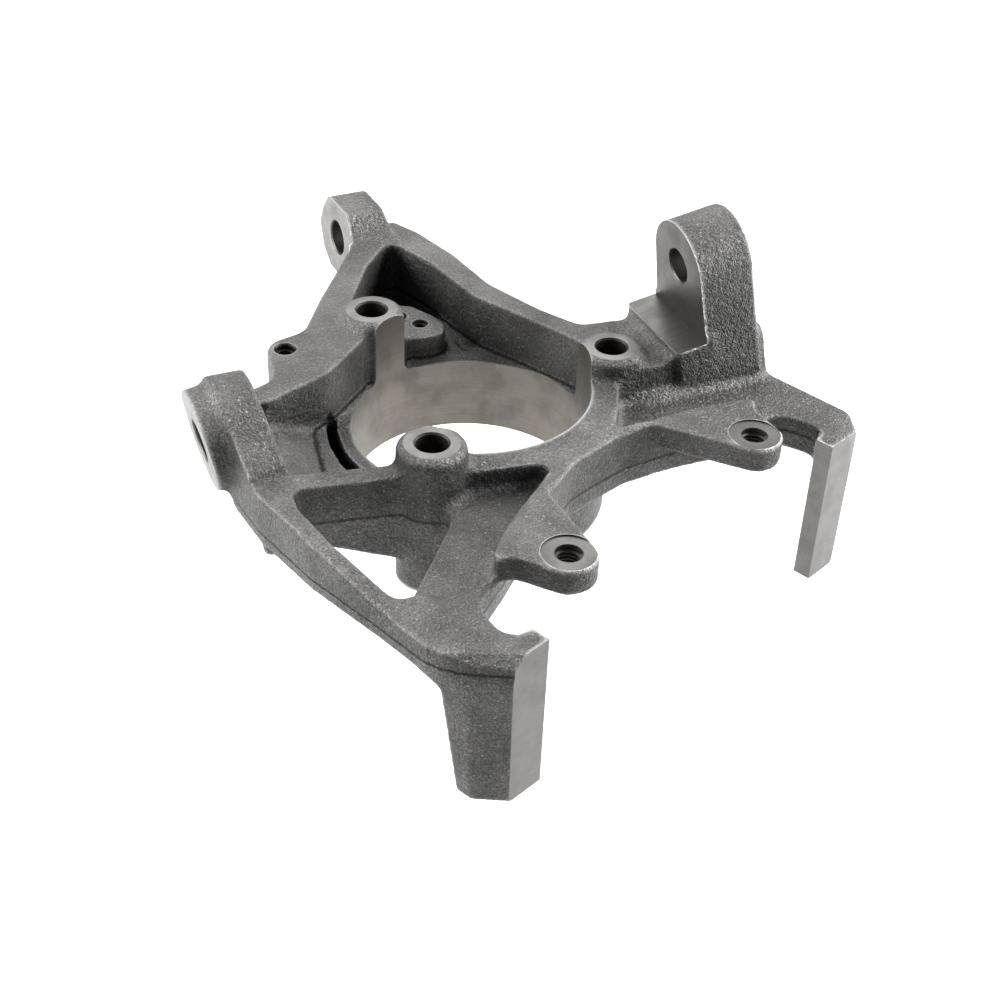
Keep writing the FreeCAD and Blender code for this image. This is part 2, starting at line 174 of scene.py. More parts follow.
def add_node(
    tree: bpy.types.NodeTree,
    kind: str,
    settings: dict[str, object] | None = None,
    sockets: dict[str | int, object] | None = None,
) -> bpy.types.Node:
    """Adds a node to a material.

    Args:
        tree: The material's nodes.
        kind: Type of the node.
        settings: Its properties by name.
        sockets: Its inputs by name or number, each a value or the output that feeds it.

    Returns:
        The new node.
    """
    made = tree.nodes.new(kind)
    for name, value in (settings or {}).items():
        setattr(made, name, value)
    for name, value in (sockets or {}).items():
        if isinstance(value, Socket):
            tree.links.new(value, made.inputs[name])
        else:
            made.inputs[name].default_value = value
    return made


def ramp(
    tree: bpy.types.NodeTree, factor: Socket, low: float, high: float, start: float | Socket, end: float
) -> Socket:
    """Smooth change of a value with a factor.

    Args:
        tree: The material's nodes.
        factor: What the value follows.
        low: Factor at which the value is start.
        high: Factor at which the value is end.
        start: First value, or the output that gives it.
        end: Last value.

    Returns:
        The output that gives the value.
    """
    made = add_node(tree, "ShaderNodeMapRange", {"interpolation_type": "SMOOTHSTEP"},
                    {"Value": factor, "From Min": low, "From Max": high, "To Min": start, "To Max": end})
    return made.outputs["Result"]


def blend(
    tree: bpy.types.NodeTree, factor: Socket, first: Colour | Socket, second: Colour | Socket
) -> Socket:
    """Colour mixed from two by a factor."""
    made = add_node(tree, "ShaderNodeMix", {"data_type": "RGBA"}, {0: factor, 6: first, 7: second})
    return made.outputs[2]


def scaled(tree: bpy.types.NodeTree, colour: Socket, scale: Socket) -> Socket:
    """Colour made brighter or darker by a factor."""
    made = add_node(tree, "ShaderNodeVectorMath", {"operation": "SCALE"}, {0: colour, "Scale": scale})
    return made.outputs[0]


def new_material(name: str) -> tuple[bpy.types.Material, bpy.types.Node, Socket]:
    """Starts a material.

    Args:
        name: Name of the material.

    Returns:
        The material, its shader and the coordinates of the part, in metres.
    """
    material = bpy.data.materials.new(name)
    material.use_nodes = True
    shader = material.node_tree.nodes["Principled BSDF"]
    place = add_node(material.node_tree, "ShaderNodeTexCoord").outputs["Object"]
    return material, shader, place


@dataclass(frozen=True)
class CastIron:
    """Grey cast iron, cleaned with shot: a pebbled satin skin, with painted shade in the recesses and on the
    walls and painted highlights on the outer edges.

    Attributes:
        name: Name of the material.
        dark: Darker tone of the skin.
        light: Lighter tone of the skin.
        recess: Colour of the painted shade deep in the pockets, and of the dark parting line.
        edge: Painted highlight on the outer edges and in the specks, partly bare metal and partly painted
            glint.
        parting_height: Height at which the mould halves met, in millimetres.
    """

    name: str = "cast_iron_shot_blasted"
    dark: str = "#5c5b5a"
    light: str = "#757473"
    recess: str = "#120f0c"
    edge: str = "#c4c3c1"
    parting_height: float = 34.0

    def build(self) -> bpy.types.Material:
        """Makes the material.

        Returns:
            The material, ready for a piece.
        """
        material, shader, place = new_material(self.name)
        tree = material.node_tree
        # Pebbles of the sand mould, about two millimetres across, give the skin its orange-peel look
        pebbles = add_node(tree, "ShaderNodeTexNoise", {},
                           {"Vector": place, "Scale": per_mm(2.0), "Detail": 4.0, "Roughness": 0.65})
        # Shot marks, under a millimetre across, break the highlights into a fine sparkle
        grain = add_node(tree, "ShaderNodeTexNoise", {},
                         {"Vector": place, "Scale": per_mm(0.7), "Detail": 2.0})
        # Slow mottling keeps the large faces from looking painted
        mottle = add_node(tree, "ShaderNodeTexNoise", {},
                          {"Vector": place, "Scale": per_mm(24), "Detail": 5.0, "Roughness": 0.6})
        tone = ramp(tree, mottle.outputs["Fac"], 0.3, 0.7, 0.0, 1.0)
        shade = blend(tree, tone, linear(self.dark), linear(self.light))
        mixed = scaled(tree, shade, ramp(tree, grain.outputs["Fac"], 0.35, 0.7, 0.7, 1.35))
        # Lone bright specks: bare metal where a shot hit through the dark skin, and painted glints
        shot = add_node(tree, "ShaderNodeTexNoise", {},
                        {"Vector": place, "Scale": per_mm(1.1), "Detail": 3.0, "Roughness": 0.6})
        bare_and_glint_specks = ramp(tree, shot.outputs["Fac"], 0.6, 0.72, 0.0, 0.55)
        speckled = blend(tree, bare_and_glint_specks, mixed, linear(self.edge))
        # The blast polishes the outer edges bright
        # Painted highlight along the outer edges, partly bare metal that the shot has polished
        outer = add_node(tree, "ShaderNodeAmbientOcclusion",
                         {"inside": True, "samples": 8, "only_local": True}, {"Distance": 2.5 * MM})
        edge_highlight = ramp(tree, outer.outputs["AO"], 0.88, 0.5, 0.0, 0.75)
        # The mould halves met at one height, which left a ragged step round the walls
        height = add_node(tree, "ShaderNodeSeparateXYZ", {}, {"Vector": place}).outputs["Z"]
        level = add_node(tree, "ShaderNodeMath", {"operation": "SUBTRACT"},
                         {0: height, 1: self.parting_height * MM}).outputs[0]
        offset = add_node(tree, "ShaderNodeMath", {"operation": "MULTIPLY_ADD"},
                          {0: pebbles.outputs["Fac"], 1: 1.6 * MM, 2: level}).outputs[0]
        away = add_node(tree, "ShaderNodeMath", {"operation": "ABSOLUTE"}, {0: offset}).outputs[0]
        step = ramp(tree, offset, -0.4 * MM, 0.4 * MM, 0.0, 1.0)
        # Painted shade: walls darker than tops as if lit from above, darkest above the parting line
        normal = add_node(tree, "ShaderNodeNewGeometry").outputs["Normal"]
        facing = add_node(tree, "ShaderNodeSeparateXYZ", {}, {"Vector": normal})
        wall = ramp(tree, offset, -1.0 * MM, 1.0 * MM, 0.66, 0.54)
        wall_shaded = scaled(tree, speckled, ramp(tree, facing.outputs["Z"], 0.1, 0.75, wall, 1.0))
        lined = blend(tree, ramp(tree, away, 0.25 * MM, 0.9 * MM, 0.7, 0.0), wall_shaded, linear(self.recess))
        highlighted_edges = blend(tree, edge_highlight, lined, linear(self.edge))
        # Painted shade darkens the corners and depths of the pockets
        open_air = add_node(tree, "ShaderNodeAmbientOcclusion",
                            {"samples": 8, "only_local": True}, {"Distance": 18 * MM})
        pocket_shade = ramp(tree, open_air.outputs["AO"], 0.5, 0.05, 0.0, 0.6)
        colour = blend(tree, pocket_shade, highlighted_edges, linear(self.recess))
        tree.links.new(colour, shader.inputs["Base Color"])
        shader.inputs["Metallic"].default_value = 0.85
        tree.links.new(ramp(tree, pebbles.outputs["Fac"], 0.3, 0.7, 0.42, 0.58), shader.inputs["Roughness"])
        # The parting step, the pebbles and the shot marks stand on each other as relief
        parting = add_node(tree, "ShaderNodeBump", {},
                           {"Strength": 1.0, "Distance": 0.7 * MM, "Height": step})
        coarse = add_node(tree, "ShaderNodeBump", {}, {"Strength": 1.0, "Distance": 1.5 * MM,
                          "Height": pebbles.outputs["Fac"], "Normal": parting.outputs[0]})
        fine = add_node(tree, "ShaderNodeBump", {}, {"Strength": 1.0, "Distance": 0.35 * MM,
                        "Height": grain.outputs["Fac"], "Normal": coarse.outputs[0]})
        tree.links.new(fine.outputs[0], shader.inputs["Normal"])
        return material


@dataclass(frozen=True)
class MachinedIron:
    """Freshly cut grey iron: pale, satin, with the marks of the tool that cut it.

    Attributes:
        name: Name of the material.
        datum: Frame of the tool, its Z the axis that the tool turns about.
        lay: Direction of the marks.
        pitch: Distance between the marks, in millimetres.
        shade: Colour of the metal.
        shadow: Colour at the bottom of the marks.
        roughness: Mean roughness of the surface.
        graphite: Colour of the open graphite flakes.
    """

    name: str
    datum: Datum
    lay: Lay = Lay.RINGS
    pitch: float = 0.8
    shade: str = "#767573"
    shadow: str = "#5b5957"
    roughness: float = 0.38
    graphite: str = "#4a4846"

    def build(self) -> bpy.types.Material:
        """Makes the material.

        Returns:
            The material, ready for a piece.
        """
        material, shader, place = new_material(self.name)
        tree = material.node_tree
        inverse = self.datum.matrix().inverted()
        local = add_node(tree, "ShaderNodeMapping", {"vector_type": "POINT"}, {
            "Vector": place, "Location": inverse.translation, "Rotation": inverse.to_euler()}).outputs[0]
        if self.lay is Lay.RINGS:
            flat = add_node(tree, "ShaderNodeVectorMath", {"operation": "MULTIPLY"},
                            {0: local, 1: (1, 1, 0)}).outputs[0]
            travel = add_node(tree, "ShaderNodeVectorMath", {"operation": "LENGTH"},
                              {0: flat}).outputs["Value"]
        else:
            travel = add_node(tree, "ShaderNodeSeparateXYZ", {}, {"Vector": local}).outputs["Z"]
        # One groove for each turn of the tool, uneven in depth as chips and chatter leave it
        phase = add_node(tree, "ShaderNodeMath", {"operation": "MULTIPLY"},
                         {0: travel, 1: 2 * math.pi * per_mm(self.pitch)}).outputs[0]
        groove = add_node(tree, "ShaderNodeMath", {"operation": "SINE"}, {0: phase}).outputs[0]
        along = add_node(tree, "ShaderNodeCombineXYZ", {}, {"X": travel}).outputs[0]
        streaks = add_node(tree, "ShaderNodeTexNoise", {},
                           {"Vector": along, "Scale": per_mm(0.6), "Detail": 4.0, "Roughness": 0.7})
        # Soft patches where the cut iron has begun to tarnish
        stain = add_node(tree, "ShaderNodeTexNoise", {},
                         {"Vector": place, "Scale": per_mm(13), "Detail": 5.0, "Roughness": 0.65})
        # Graphite flakes open as pin pricks in the cut face
        flakes = add_node(tree, "ShaderNodeTexNoise", {},
                          {"Vector": place, "Scale": per_mm(0.5), "Detail": 2.0})
        shadow = linear(self.shadow)
        scored = ramp(tree, streaks.outputs["Fac"], 0.3, 0.7, 0.0, 0.6)
        streaked = blend(tree, scored, linear(self.shade), shadow)
        stained = blend(tree, ramp(tree, stain.outputs["Fac"], 0.4, 0.7, 0.0, 0.55), streaked, shadow)
        pricks = ramp(tree, flakes.outputs["Fac"], 0.68, 0.8, 0.0, 0.5)
        pricked = blend(tree, pricks, stained, linear(self.graphite))
        tree.links.new(pricked, shader.inputs["Base Color"])
        shader.inputs["Metallic"].default_value = 1.0
        dulled = ramp(tree, stain.outputs["Fac"], 0.3, 0.7, self.roughness - 0.05, self.roughness + 0.07)
        tree.links.new(dulled, shader.inputs["Roughness"])
        marks = add_node(tree, "ShaderNodeMath", {"operation": "MULTIPLY_ADD"},
                         {0: groove, 1: 0.3, 2: streaks.outputs["Fac"]}).outputs[0]
        bump = add_node(tree, "ShaderNodeBump", {},
                        {"Strength": 0.35, "Distance": 0.02 * MM, "Height": marks})
        tree.links.new(bump.outputs[0], shader.inputs["Normal"])
        return material


@dataclass(frozen=True)
class PaleFloor:
    """Matt white studio floor.

    Attributes:
        name: Name of the material.
        shade: Its usual tone.
        pale: Tone of its palest patches.
    """

    name: str = "matt_white_floor"
    shade: str = "#f4f4f4"
    pale: str = "#ffffff"

    def build(self) -> bpy.types.Material:
        """Makes the material.

        Returns:
            The material, ready for a piece.
        """
        material, shader, place = new_material(self.name)
        tree = material.node_tree
        # A very faint unevenness keeps the floor from reading as a flat card
        cloud = add_node(tree, "ShaderNodeTexNoise", {},
                         {"Vector": place, "Scale": per_mm(400), "Detail": 2.0})
        colour = blend(tree, cloud.outputs["Fac"], linear(self.shade), linear(self.pale))
        tree.links.new(colour, shader.inputs["Base Color"])
        shader.inputs["Roughness"].default_value = 0.9
        return material


def edit(piece: bpy.types.Object, mode: str = "VERT") -> None:
    """Opens a piece in edit mode with everything selected.

    Args:
        piece: The mesh to open.
        mode: What is selected, VERT or FACE.
    """
    bpy.ops.object.select_all(action="DESELECT")
    piece.select_set(True)
    bpy.context.view_layer.objects.active = piece
    bpy.ops.object.mode_set(mode="EDIT")
    bpy.ops.mesh.select_mode(type=mode)
    bpy.ops.mesh.select_all(action="SELECT")


def close_edit() -> None:
    """Faces every normal outward and leaves edit mode."""
    bpy.ops.mesh.select_all(action="SELECT")
    bpy.ops.mesh.normals_make_consistent(inside=False)
    bpy.ops.object.mode_set(mode="OBJECT")


def placed(piece: bpy.types.Object, name: str, datum: Datum) -> bpy.types.Object:
    """Names a piece and moves its mesh to its place on the part.

    Args:
        piece: Mesh drawn in the datum's frame.
        name: Name of the piece.
        datum: The frame.

    Returns:
        The piece, its object still at the origin.
    """
    piece.name = name
    piece.data.name = name
    piece.data.transform(datum.matrix())
    return piece


def turned(name: str, datum: Datum, stations: Sequence[Station], sides: int = 96) -> bpy.types.Object:
    """Round solid extruded ring by ring.

    Args:
        name: Name of the piece.
        datum: Frame whose Z is the axis.
        stations: Height and radius of each ring, in millimetres.
        sides: Number of flats round it.

    Returns:
        The closed solid.
    """
    height, radius = stations[0]
    bpy.ops.mesh.primitive_circle_add(
        vertices=sides, radius=radius * MM, fill_type="NGON", location=(0, 0, 0))
    piece = bpy.context.active_object
    piece.data.transform(Matrix.Translation((0, 0, height * MM)))
    edit(piece, "FACE")
    for following, wider in stations[1:]:
        rise = (following - height) * MM
        bpy.ops.mesh.extrude_region_move(TRANSFORM_OT_translate={"value": (0, 0, rise)})
        scale = wider / radius
        bpy.ops.transform.resize(value=(scale, scale, 1), center_override=(0, 0, following * MM))
        height, radius = following, wider
    close_edit()
    return placed(piece, name, datum)


def prism(name: str, datum: Datum, outline: Sequence[Corner], low: float, high: float) -> bpy.types.Object:
    """Straight solid on an outline.

    Args:
        name: Name of the piece.
        datum: Frame of the outline.
        outline: Corners in order, in millimetres.
        low: Height of its lower face.
        high: Height of its upper face.

    Returns:
        The closed solid.
    """
    bpy.ops.mesh.primitive_circle_add(vertices=len(outline), radius=1, fill_type="NGON", location=(0, 0, 0))
    piece = bpy.context.active_object
    for vertex, (x, y) in zip(piece.data.vertices, outline, strict=True):
        vertex.co = Vector((x, y, low)) * MM
    edit(piece, "FACE")
    bpy.ops.mesh.extrude_region_move(TRANSFORM_OT_translate={"value": (0, 0, (high - low) * MM)})
    close_edit()
    return placed(piece, name, datum)


def curved(name: str, datum: Datum, radii: Corner, heights: Corner, angles: Corner) -> bpy.types.Object:
    """Curved bar about a datum's axis.

    Args:
        name: Name of the piece.
        datum: Frame whose Z is the axis.
        radii: Inner and outer radius, in millimetres.
        heights: Lower and upper height.
        angles: First and last angle, in degrees.

    Returns:
        The closed solid.
    """
    bpy.ops.mesh.primitive_plane_add(size=2, location=(0, 0, 0))
    piece = bpy.context.active_object
    for vertex in piece.data.vertices:
        radius = radii[vertex.co.x > 0]
        vertex.co = Vector((radius, 0, heights[vertex.co.y > 0])) * MM
    piece.data.transform(Matrix.Rotation(math.radians(angles[0]), 4, "Z"))
    edit(piece, "FACE")
    span = math.radians(angles[0] - angles[1])
    bpy.ops.mesh.spin(steps=48, angle=span, center=(0, 0, 0), axis=(0, 0, 1))
    bpy.ops.mesh.select_all(action="SELECT")
    bpy.ops.mesh.remove_doubles(threshold=0.001 * MM)
    bpy.ops.mesh.fill_holes(sides=4)
    close_edit()
    return placed(piece, name, datum)


def apply_modifier(piece: bpy.types.Object, kind: str, **settings: object) -> None:
    """Adds a modifier and applies it to the mesh.

    Args:
        piece: The mesh to change.
        kind: Type of the modifier.
        **settings: Its properties by name.
    """
    bpy.ops.object.select_all(action="DESELECT")
    piece.select_set(True)
    bpy.context.view_layer.objects.active = piece
    modifier = piece.modifiers.new(kind.lower(), kind)
    for name, value in settings.items():
        setattr(modifier, name, value)
    bpy.ops.object.modifier_apply(modifier=modifier.name)


def joined(name: str, pieces: Sequence[bpy.types.Object]) -> bpy.types.Object:
    """Joins several pieces into one mesh.

    Args:
        name: Name of the whole.
        pieces: The pieces, the first of which takes in the others.

    Returns:
        The joined piece.
    """
    bpy.ops.object.select_all(action="DESELECT")
    for piece in pieces:
        piece.select_set(True)
    bpy.context.view_layer.objects.active = pieces[0]
    if len(pieces) > 1:
        bpy.ops.object.join()
    merged = bpy.context.active_object
    merged.name = name
    merged.data.name = name
    return merged


@dataclass
class CastSkin:
    """The casting as it leaves the mould: rounded everywhere, with stock left to machine.

    Attributes:
        source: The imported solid.
        stock: Depth of metal left on the faces to be machined, in millimetres.
        voxel: Size of the mesh's cells.
        fillet: Radius that fills the inner corners.
        softening: Passes that round the outer edges.
        triangles: Most triangles of the skin.
    """

    source: bpy.types.Object
    stock: float = 2.5
    voxel: float = 0.75
    fillet: float = 2.4
    softening: int = 2
    triangles: int = 150_000

    def copy_solid(self) -> bpy.types.Object:
        """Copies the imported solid, with its loose triangles merged and its bore left undersize.

        Returns:
            The copy, its bore narrower by the stock.
        """
        piece = self.source.copy()
        piece.data = self.source.data.copy()
        piece.parent = None
        for key in list(piece.keys()):
            del piece[key]
        bpy.context.scene.collection.objects.link(piece)
        piece.data.materials.clear()
        edit(piece)
        bpy.ops.mesh.remove_doubles(threshold=0.001 * MM)
        bpy.ops.mesh.select_mode(type="FACE")
        bpy.ops.mesh.select_all(action="DESELECT")
        bpy.ops.object.mode_set(mode="OBJECT")
        points = piece.data.vertices
        for face in piece.data.polygons:
            off_wall = [abs(points[place].co.xy.length - BORE_RADIUS * MM) for place in face.vertices]
            face.select = max(off_wall) < 0.05 * MM
        bpy.ops.object.mode_set(mode="EDIT")
        inward = 1 - self.stock / BORE_RADIUS
        bpy.ops.mesh.extrude_region_move(TRANSFORM_OT_translate={"value": (0, 0, 0)})
        bpy.ops.transform.resize(value=(inward, inward, 1), center_override=(0, 0, 0))
        close_edit()
        return piece

    def plugs(self) -> list[bpy.types.Object]:
        """Makes the solids that close the holes and thicken the faces to be machined.

        Returns:
            The solids, which overlap the casting.
        """
        spare = self.stock
        made = [
            turned("hub_plug", HUB, [(-spare, BORE_RADIUS + 0.3), (LEDGE, BORE_RADIUS + 0.3)], 160),
            turned("hub_flange", HUB, [(-spare, 56), (4, 56)], 160),
            turned("shield_plug", SHIELD_HOLE, [(36, 5), (56, 5)], 32),
            turned("sensor_screw_plug", SENSOR_SCREW, [(30, 4), (42.5, 4)], 32),
            turned("sensor_plug", SENSOR_BORE, [(14, 5.5), (42.5, 5.5)], 32),
            turned("upper_plug", UPPER_LUG, [(-spare, 9), (24, 9)], 48),
            turned("lower_plug", LOWER_LUG, [(0, 10), (24, 10)], 48),
            turned("lower_face_stock", LOWER_LUG, [(-spare, 20), (8, 20)]),
            turned("tie_rod_plug", TIE_ROD_LUG, [(0, 9.5), (18.5, 9.5)], 48),
            prism("tie_rod_face_stock", TIE_ROD_LUG, TIE_ROD_OUTLINE, -spare, 4),
            prism("seat_stock", UPPER_LUG, SEAT_OUTLINE, -13.5, 4),
        ]
        boss = [(-spare, 13.5), (57.3, 13.5), (58.8, 12.9), (59.9, 11.7), (60.5, 10.4)]
        for number, bolt in enumerate(BOLTS, start=1):
            made.append(turned(f"boss_{number}", bolt, boss))
        for number, ear in enumerate(EARS, start=1):
            made.append(turned(f"ear_plug_{number}", ear, [(41, 6), (50, 6), (50, 9.6), (51, 9.6)], 48))
        turns = [math.radians(turn) for turn in range(0, 181, 6)]
        tongue = [(19 * math.cos(turn), 19 * math.sin(turn)) for turn in turns]
        made.append(prism("tongue_stock", UPPER_LUG, [*tongue, (-23.5, -56), (23.5, -56)], -spare, 4))
        for side in (1, -1):
            outline = [(side * x, y) for x, y in RAIL_OUTLINE]
            made.append(prism("rail_stock", CALIPER, outline, -26, 40))
        return made

    def remesh(self, piece: bpy.types.Object) -> None:
        """Rebuilds the mesh as the outside of everything in it."""
        apply_modifier(piece, "REMESH", mode="VOXEL", voxel_size=self.voxel * MM)

    def build(self) -> bpy.types.Object:
        """Makes the skin.

        Returns:
            The skin, still without a finish.
        """
        skin = joined("knuckle_casting_skin", [self.copy_solid(), *self.plugs()])
        self.remesh(skin)
        apply_modifier(skin, "DISPLACE", strength=self.fillet * MM, mid_level=0.0)
        self.remesh(skin)
        apply_modifier(skin, "DISPLACE", strength=-self.fillet * MM, mid_level=0.0)
        self.remesh(skin)
        groove = curved("core_groove", HUB, (54, 58), (15, 36), (165, 222))
        crown = prism("leg_crown", LEG_EDGE, [(-6.5, 1.5), (1.5, -6.5), (6, 6)], -13, 12)
        for cutter in (groove, crown):
            apply_modifier(skin, "BOOLEAN", operation="DIFFERENCE", object=cutter, solver="EXACT")
            bpy.data.objects.remove(cutter)
        self.remesh(skin)
        apply_modifier(skin, "SMOOTH", factor=0.5, iterations=self.softening)
        count = sum(len(face.vertices) - 2 for face in skin.data.polygons)
        apply_modifier(skin, "DECIMATE", ratio=min(1.0, self.triangles / count))
        LOG.info("skin of %d triangles from %d", len(skin.data.polygons), count)
        return skin


@dataclass
class Machining:
    """Every face and hole cut into the casting, each cutter carrying the finish it leaves.

    Attributes:
        skin: The casting.
        cuts: Cutters made so far, waiting for the next pass.
        in_shade: Colours of the metal and of its marks deep in a drilled hole.
    """

    skin: bpy.types.Object
    cuts: list[bpy.types.Object] = field(default_factory=list)
    in_shade: tuple[str, str] = ("#4c4a47", "#32302e")

    def add(self, cutter: bpy.types.Object, finish: MachinedIron) -> None:
        """Keeps a cutter with its finish for the next pass."""
        cutter.data.materials.append(finish.build())
        self.cuts.append(cutter)

    def run(self, name: str) -> None:
        """Cuts everything kept so far out of the casting in one pass.

        Args:
            name: Name of the pass.
        """
        cutter = joined(name, self.cuts)
        self.cuts = []
        apply_modifier(self.skin, "BOOLEAN", operation="DIFFERENCE", object=cutter, solver="EXACT",
                       material_mode="TRANSFER")
        bpy.data.objects.remove(cutter)
        LOG.info("%s leaves %d faces", name, len(self.skin.data.polygons))

    def mill_faces(self) -> None:
        """Flat faces and seats."""
        # The cut faces get shades of their own, set face by face to how bright each looks in the light:
        # painted light and shade
        hub_face = MachinedIron("turned_hub_face", HUB, pitch=0.6)
        self.add(turned("hub_face", HUB, [(-8, 76), (0, 76)], 160), hub_face)
        for number, bolt in enumerate(BOLTS, start=1):
            finish = MachinedIron(
                f"spotfaced_boss_{number}", bolt, Lay.RINGS, 0.8, "#7c7b79", "#62605e", 0.46)
            self.add(turned("boss_top", bolt, [(BOSS_TOP, 17), (67, 17)]), finish)
        for number, ear in enumerate(EARS, start=1):
            finish = MachinedIron(f"spotfaced_ear_{number}", ear, Lay.RINGS, 0.8, "#706f6d", "#5a5957", 0.46)
            self.add(turned("ear_seat", ear, [(EAR_TOP, 10), (56, 10)]), finish)
        for number, side in enumerate((1, -1), start=1):
            outline = [(side * x, y) for x, y in RAIL_CUT]
            mill_axis = CALIPER.across * side * 90 - CALIPER.up * 118 + Vector((0, 0, -160))
            face = Datum(mill_axis, CALIPER.across, HUB.along, -CALIPER.up)
            finish = MachinedIron(f"milled_rail_{number}", face, pitch=1.1, roughness=0.3)
            self.add(prism("rail_cut", CALIPER, outline, -40, 60), finish)
        seat = [(-40, -25.5), (40, -25.5), (40, 30), (-40, 30)]
        # The upper lug's faces get a darker shade than the other milled faces: painted shade for the dark
        # surroundings that they reflect
        upper = MachinedIron("milled_upper_lug", UPPER_LUG, Lay.RINGS, 0.9, "#666563", "#4c4b49", 0.4)
        self.add(prism("upper_seat_cut", UPPER_LUG, seat, -16.5, 0), upper)
        lower = MachinedIron("faced_lower_lug", LOWER_LUG, shade="#6c6b69")
        self.add(turned("lower_face_cut", LOWER_LUG, [(-8, 32), (0, 32)]), lower)
        wider = [(1.06 * x, 1.06 * y) for x, y in TIE_ROD_OUTLINE]
        tie_rod = MachinedIron("faced_tie_rod_lug", TIE_ROD_LUG, shade="#807f7c")
        self.add(prism("tie_rod_face_cut", TIE_ROD_LUG, wider, -8, 0), tie_rod)
        self.run("face_cutters")

    def bore_holes(self) -> None:
        """Bores, bolt holes and tapping holes."""
        bore = MachinedIron("bored_hub", HUB, Lay.TURNS, 0.9, "#7b7670", "#645f5a", 0.45)
        self.add(turned("hub_bore", HUB, [(-2, BORE_RADIUS), (64, BORE_RADIUS)], 192), bore)
        for number, bolt in enumerate(BOLTS, start=1):
            hole = MachinedIron(f"drilled_bolt_hole_{number}", bolt, Lay.TURNS, 0.5, *self.in_shade, 0.55)
            self.add(turned("bolt_hole", bolt, [(-2, 6.25), (59.5, 6.25), (60.9, 7.65)], 64), hole)
        for number, ear in enumerate(EARS, start=1):
            hole = MachinedIron(f"tapped_ear_{number}", ear, Lay.TURNS, 0.5, *self.in_shade, 0.5)
            self.add(turned("ear_hole", ear, [(38, 5.05), (50.0, 5.05), (51.2, 5.4)], 64), hole)
        lugs = (
            ("upper", UPPER_LUG, 7.1, 30),
            ("lower", LOWER_LUG, 8.3, 45),
            ("tie_rod", TIE_ROD_LUG, 7.7, 40),
        )
        for name, lug, radius, depth in lugs:
            hole = MachinedIron(f"reamed_{name}_lug", lug, Lay.TURNS, 0.4, "#5e5c59", "#444240", 0.45)
            stations = [(-1, radius + 1.6), (0.6, radius), (depth, radius)]
            self.add(turned(f"{name}_lug_bore", lug, stations, 64), hole)
        small = (
            ("shield", SHIELD_HOLE, [(36, 4.05), (55.4, 4.05), (57, 5.65)]),
            ("sensor_screw", SENSOR_SCREW, [(30, 3.05), (42, 3.05), (43.5, 4.55)]),
            ("sensor", SENSOR_BORE, [(8, 4), (41.9, 4), (43.5, 5.6)]),
        )
        for name, place, stations in small:
            hole = MachinedIron(f"drilled_{name}", place, Lay.TURNS, 0.5, *self.in_shade, 0.5)
            self.add(turned(f"{name}_hole", place, stations, 48), hole)
        self.run("hole_cutters")


@dataclass(frozen=True)
class Thread:
    """Ridge of an internal thread, wound as one closed bar.

    Attributes:
        name: Name of the piece.
        datum: Frame whose Z is the hole's axis.
        radius: Radius of the drilled wall that the ridge stands on, in millimetres.
        crest: Radius of the ridge's crest.
        pitch: Rise of one turn.
        heights: Lowest and highest place of the ridge.
    """

    name: str
    datum: Datum
    radius: float
    crest: float
    pitch: float
    heights: Corner

    def build(self, material: bpy.types.Material) -> bpy.types.Object:
        """Makes the ridge.

        Args:
            material: Its finish.

        Returns:
            The closed bar in its place.
        """
        half, tip = 0.44 * self.pitch, 0.08 * self.pitch
        root = self.radius + 0.12
        profile = [(root, -half), (root, half), (self.crest, tip), (self.crest, -tip)]
        low, high = self.heights
        bpy.ops.mesh.primitive_circle_add(vertices=4, radius=1, fill_type="NOTHING", location=(0, 0, 0))
        piece = bpy.context.active_object
        for vertex, (out, rise) in zip(piece.data.vertices, profile, strict=True):
            vertex.co = Vector((out, 0, low + half + rise)) * MM
        turns = int((high - low - 2 * half) / self.pitch)
        apply_modifier(piece, "SCREW", angle=2 * math.pi, screw_offset=self.pitch * MM, iterations=turns,
                       steps=40, render_steps=40, use_smooth_shade=False)
        edit(piece)
        bpy.ops.mesh.remove_doubles(threshold=0.001 * MM)
        bpy.ops.mesh.fill_holes(sides=4)
        close_edit()
        piece.data.materials.append(material)
        return placed(piece, self.name, self.datum)


@dataclass
class Knuckle:
    """The finished knuckle: machined casting and cut threads.

    Attributes:
        source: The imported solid.
    """

    source: bpy.types.Object

    def threads(self) -> list[bpy.types.Object]:
        """Makes the ridges in the tapped holes.

        Returns:
            The ridges of the two ears, the shield hole and the sensor screw.
        """
        finish = MachinedIron("cut_thread", HUB, Lay.TURNS, 0.5, "#5c5a57", "#3a3836", 0.5).build()
        ridges = [
            Thread(f"ear_thread_{number}", ear, 5.05, 4.25, 1.5, (40.6, 49.9))
            for number, ear in enumerate(EARS, start=1)
        ]
        ridges.append(Thread("shield_thread", SHIELD_HOLE, 4.05, 3.4, 1.25, (37, 55.4)))
        ridges.append(Thread("sensor_thread", SENSOR_SCREW, 3.05, 2.5, 1.0, (31, 42)))
        return [ridge.build(finish) for ridge in ridges]

    def build(self) -> list[bpy.types.Object]:
        """Makes every piece and fixes it to the frame.

        Returns:
            The casting and the thread ridges.
        """
        casting = CastSkin(self.source).build()
        casting.data.materials.append(CastIron().build())
        machining = Machining(casting)
        machining.mill_faces()
        machining.bore_holes()
        bpy.ops.object.select_all(action="DESELECT")
        casting.select_set(True)
        bpy.context.view_layer.objects.active = casting
        bpy.ops.object.shade_smooth_by_angle(angle=math.radians(32))
        pieces = [casting, *self.threads()]
        for piece in pieces:
            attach(piece, "root")
        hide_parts("knuckle_casting")
        return pieces


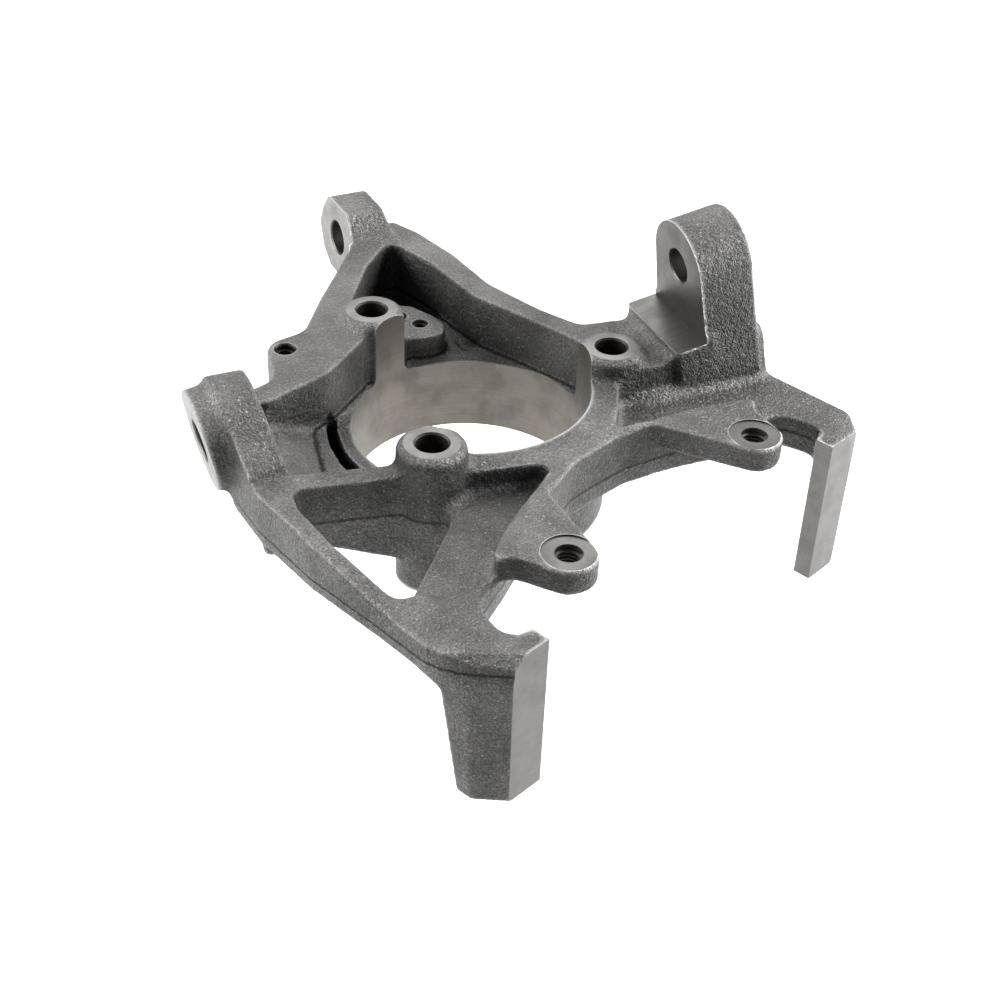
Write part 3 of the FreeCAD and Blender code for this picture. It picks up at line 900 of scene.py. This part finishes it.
@dataclass(frozen=True)
class Lamp:
    """Large soft light.

    Attributes:
        name: Name of the light.
        place: Its place, in metres.
        size: Its diameter, in metres.
        power: Its power, in watts.
        target: The point that it faces, in metres.
    """

    name: str
    place: Place
    size: float
    power: float
    target: Place = (0.01, 0.0, 0.03)

    def build(self) -> None:
        """Hangs the light and aims it at the part."""
        light = bpy.data.lights.new(self.name, "AREA")
        light.shape = "DISK"
        light.size = self.size
        light.energy = self.power
        lamp = bpy.data.objects.new(self.name, light)
        bpy.context.scene.collection.objects.link(lamp)
        lamp.location = self.place
        aim = Vector(self.target) - Vector(self.place)
        lamp.rotation_euler = aim.to_track_quat("-Z", "Y").to_euler()


@dataclass(frozen=True)
class PhotoCamera:
    """Camera fitted to the photograph.

    Attributes:
        place: Its place, in metres.
        right: Direction that lies to the right in the picture.
        down: Direction that lies downward in the picture.
        forward: Direction in which it looks.
        focal_length: Its focal length, in pixels of the photograph.
        photo_width: Width of the photograph, in pixels.
        sensor_width: Width of its sensor, in millimetres.
    """

    place: Place = (-0.156796, -0.535891, 0.400183)
    right: Place = (0.9604300, -0.2764643, 0.0337883)
    down: Place = (-0.1359173, -0.5711122, -0.8095415)
    forward: Place = (0.2431062, 0.7729155, -0.5860896)
    focal_length: float = 1648.31
    photo_width: int = 990
    sensor_width: float = 36

    def build(self) -> None:
        """Sets up the camera and makes it the scene's own."""
        data = bpy.data.cameras.new("photo_camera")
        data.sensor_width = self.sensor_width
        data.lens = self.focal_length / self.photo_width * self.sensor_width
        data.clip_start = 0.01
        data.clip_end = 30
        camera = bpy.data.objects.new("photo_camera", data)
        bpy.context.scene.collection.objects.link(camera)
        turn = Matrix((Vector(self.right), -Vector(self.down), -Vector(self.forward))).transposed().to_4x4()
        camera.matrix_world = Matrix.Translation(self.place) @ turn
        bpy.context.scene.camera = camera


@dataclass
class Studio:
    """Pale floor, soft light and the camera at the photograph's viewing angle.

    Attributes:
        floor_height: Height of the floor, in millimetres.
        world_strength: Strength of the light from all round.
        lamps: The soft lights.
    """

    floor_height: float = -120.0
    world_strength: float = 0.2
    lamps: tuple[Lamp, ...] = (
        Lamp("top_light", (0.1, 0.9, 1.05), 1.6, 20.0),
        Lamp("right_light", (1.3, -0.1, 0.45), 1.2, 46.0),
        Lamp("left_light", (-1.3, 0.3, 0.4), 1.2, 36.0),
    )

    def build(self) -> None:
        """Makes the floor, the lights and the camera."""
        bpy.ops.mesh.primitive_plane_add(size=8, location=(0, 0, self.floor_height * MM))
        floor = bpy.context.active_object
        floor.name = "studio_floor"
        floor.data.materials.append(PaleFloor().build())
        world = bpy.data.worlds.new("studio")
        world.use_nodes = True
        background = world.node_tree.nodes["Background"]
        background.inputs["Color"].default_value = linear("#ffffff")
        background.inputs["Strength"].default_value = self.world_strength
        bpy.context.scene.world = world
        for lamp in self.lamps:
            lamp.build()
        bpy.context.scene.view_settings.view_transform = "Standard"
        PhotoCamera().build()


def main() -> None:
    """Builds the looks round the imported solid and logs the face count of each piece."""
    logging.basicConfig(level=logging.INFO, format="%(name)s: %(message)s")
    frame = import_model()
    Studio().build()
    for piece in Knuckle(frame["nodes"]["knuckle_casting"]).build():
        LOG.info("%s of %d faces", piece.name, len(piece.data.polygons))


if __name__ == "__main__":
    main()
